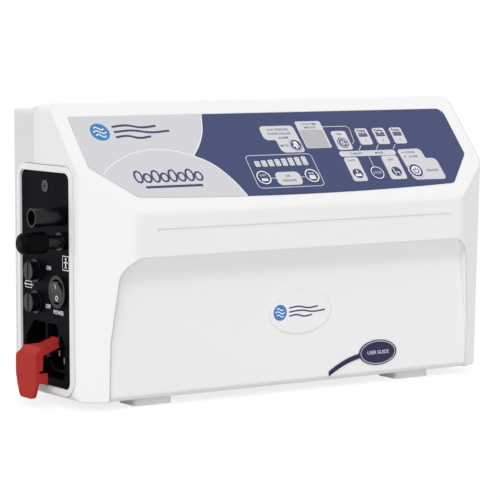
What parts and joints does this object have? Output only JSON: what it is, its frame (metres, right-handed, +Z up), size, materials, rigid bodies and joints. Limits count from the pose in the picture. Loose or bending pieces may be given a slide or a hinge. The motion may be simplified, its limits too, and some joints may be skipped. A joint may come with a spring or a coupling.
{
  "type": "alternating pressure mattress pump",
  "caption": "Two-shell pump box with a sloped key console, black side panel with air nozzles, fuses, rocker switch and mains inlet, folding bed hooks and a working interior.",
  "frame": {"origin": "middle of the footprint of the whole pump, nozzle cap and folded hooks included, on the surface the feet stand on", "axes": "+Z up, +X to the right seen from the front, +Y to the back; the console and front face -Y and the connector panel faces -X"},
  "size_m": [0.367, 0.1246, 0.2],
  "materials": {
    "casing_white": "satin moulded ABS",
    "casing_grey_white": "satin moulded ABS",
    "frame_white": "satin moulded ABS",
    "panel_black": "fine spark-eroded texture",
    "screw_steel": "zinc plated",
    "overlay_print": "printed polyester film",
    "window_grey": "tinted clear film",
    "lamp_lens": "clear moulded acrylic",
    "key_grey": "printed film over a dome",
    "key_white": "printed film over a dome",
    "badge_white": "moulded",
    "label_navy": "printed film",
    "foot_rubber": "moulded",
    "cap_rubber": "moulded",
    "fuse_glass": "clear",
    "pin_brass": "nickel plated",
    "clip_red": "moulded",
    "foam_grey": "open-cell foam",
    "frame_aluminium": "die cast",
    "core_steel": "laminated steel",
    "winding_copper": "varnished copper",
    "head_black": "glass-filled",
    "valve_plastic": "moulded",
    "tube_silicone": "clear silicone",
    "board_green": "solder mask",
    "parts_mixed": "mixed electronic parts",
    "lead_pvc": "PVC insulation"
  },
  "bodies": {
    "casing": {"front_shell": "casing_white", "rear_shell": "casing_grey_white", "side_frame": "frame_white", "connector_plate": "panel_black", "plate_screw": "screw_steel", "console_overlay": "overlay_print", "display_window": "window_grey", "pressure_lamps": "lamp_lens", "oval_badge": "badge_white", "help_label": "label_navy", "feet": "foot_rubber", "air_nozzle_short": "panel_black", "air_nozzle_long": "panel_black", "fuse_holders": "panel_black", "switch_housing": "panel_black", "mains_inlet": "panel_black", "inlet_pins": "pin_brass", "inlet_screws": "screw_steel", "clip_pin": "screw_steel", "housing_screws": "screw_steel", "hook_pins": "screw_steel", "hook_brackets": "casing_grey_white", "filter_foam": "foam_grey", "compressor_frame": "frame_aluminium", "coil_cores": "core_steel", "coil_windings": "winding_copper", "diaphragms": "cap_rubber", "compressor_heads": "head_black", "rubber_mounts": "cap_rubber", "valve_motor": "core_steel", "valve_body": "valve_plastic", "air_tubes": "tube_silicone", "main_board": "board_green", "board_parts": "parts_mixed", "display_board": "board_green", "display_parts": "parts_mixed", "wiring": "lead_pvc"},
    "alarm_mute_key": {"alarm_mute_key": "key_grey"},
    "cycle_time_key": {"cycle_time_key": "key_grey"},
    "mode_key_left": {"mode_key_left": "key_grey"},
    "mode_key_centre": {"mode_key_centre": "key_grey"},
    "mode_key_right": {"mode_key_right": "key_grey"},
    "static_key": {"static_key": "key_grey"},
    "lock_key": {"lock_key": "key_grey"},
    "seat_key": {"seat_key": "key_grey"},
    "power_key": {"power_key": "key_white"},
    "softer_key": {"softer_key": "key_grey"},
    "firmer_key": {"firmer_key": "key_grey"},
    "rubber_cap": {"nozzle_cap": "cap_rubber"},
    "upper_fuse_cap": {"fuse_cap_upper": "panel_black", "fuse_upper": "fuse_glass"},
    "lower_fuse_cap": {"fuse_cap_lower": "panel_black", "fuse_lower": "fuse_glass"},
    "rocker": {"switch_rocker": "panel_black"},
    "clip": {"lead_clip": "clip_red"},
    "left_hook": {"bed_hook_left": "casing_grey_white"},
    "right_hook": {"bed_hook_right": "casing_grey_white"},
    "filter_door": {"filter_cover": "casing_grey_white"},
    "armature": {"armature": "core_steel"},
    "valve_rotor": {"valve_rotor": "valve_plastic"}
  },
  "joints": [
    {"name": "alarm_mute_press", "type": "slide", "parent": "casing", "child": "alarm_mute_key", "axis": [0, 0.7581, -0.6521], "range_m": [0, 0.0006], "stiffness_N_per_m": 1500},
    {"name": "cycle_time_press", "type": "slide", "parent": "casing", "child": "cycle_time_key", "axis": [0, 0.7581, -0.6521], "range_m": [0, 0.0006], "stiffness_N_per_m": 1500},
    {"name": "mode_left_press", "type": "slide", "parent": "casing", "child": "mode_key_left", "axis": [0, 0.7581, -0.6521], "range_m": [0, 0.0006], "stiffness_N_per_m": 1500},
    {"name": "mode_centre_press", "type": "slide", "parent": "casing", "child": "mode_key_centre", "axis": [0, 0.7581, -0.6521], "range_m": [0, 0.0006], "stiffness_N_per_m": 1500},
    {"name": "mode_right_press", "type": "slide", "parent": "casing", "child": "mode_key_right", "axis": [0, 0.7581, -0.6521], "range_m": [0, 0.0006], "stiffness_N_per_m": 1500},
    {"name": "static_press", "type": "slide", "parent": "casing", "child": "static_key", "axis": [0, 0.7581, -0.6521], "range_m": [0, 0.0006], "stiffness_N_per_m": 1500},
    {"name": "lock_press", "type": "slide", "parent": "casing", "child": "lock_key", "axis": [0, 0.7581, -0.6521], "range_m": [0, 0.0006], "stiffness_N_per_m": 1500},
    {"name": "seat_press", "type": "slide", "parent": "casing", "child": "seat_key", "axis": [0, 0.7581, -0.6521], "range_m": [0, 0.0006], "stiffness_N_per_m": 1500},
    {"name": "power_press", "type": "slide", "parent": "casing", "child": "power_key", "axis": [0, 0.7581, -0.6521], "range_m": [0, 0.0006], "stiffness_N_per_m": 1500},
    {"name": "softer_press", "type": "slide", "parent": "casing", "child": "softer_key", "axis": [0, 0.7581, -0.6521], "range_m": [0, 0.0006], "stiffness_N_per_m": 1500},
    {"name": "firmer_press", "type": "slide", "parent": "casing", "child": "firmer_key", "axis": [0, 0.7581, -0.6521], "range_m": [0, 0.0006], "stiffness_N_per_m": 1500},
    {"name": "rubber_cap_pull", "type": "slide", "parent": "casing", "child": "rubber_cap", "axis": [-1, 0, 0], "range_m": [0, 0.025]},
    {"name": "upper_fuse_cap_turn", "type": "hinge", "parent": "casing", "child": "upper_fuse_cap", "pos_m": [-0.1505, 0.01534, 0.0883], "axis": [-1, 0, 0], "range_deg": [0, 90]},
    {"name": "lower_fuse_cap_turn", "type": "hinge", "parent": "casing", "child": "lower_fuse_cap", "pos_m": [-0.1505, 0.01534, 0.0673], "axis": [-1, 0, 0], "range_deg": [0, 90]},
    {"name": "power_rocker_tip", "type": "hinge", "parent": "casing", "child": "rocker", "pos_m": [-0.1483, -0.01536, 0.0769], "axis": [0, 1, 0], "range_deg": [0, 14]},
    {"name": "lead_clip_lift", "type": "hinge", "parent": "casing", "child": "clip", "pos_m": [-0.1455, 0.00334, 0.0423], "axis": [0, 1, 0], "range_deg": [0, 50]},
    {"name": "left_hook_swing", "type": "hinge", "parent": "casing", "child": "left_hook", "pos_m": [-0.088, 0.05684, 0.1485], "axis": [0, 0, 1], "range_deg": [0, 90]},
    {"name": "right_hook_swing", "type": "hinge", "parent": "casing", "child": "right_hook", "pos_m": [0.12, 0.05684, 0.1485], "axis": [0, 0, -1], "range_deg": [0, 90]},
    {"name": "filter_door_pull", "type": "slide", "parent": "casing", "child": "filter_door", "axis": [0, 1, 0], "range_m": [0, 0.02]},
    {"name": "armature_stroke", "type": "slide", "parent": "casing", "child": "armature", "axis": [1, 0, 0], "range_m": [-0.0015, 0.0015], "stiffness_N_per_m": 17000},
    {"name": "valve_rotor_spin", "type": "hinge", "parent": "casing", "child": "valve_rotor", "pos_m": [-0.059, -0.00566, 0.04], "axis": [0, 0, 1], "continuous": true}
  ]
}
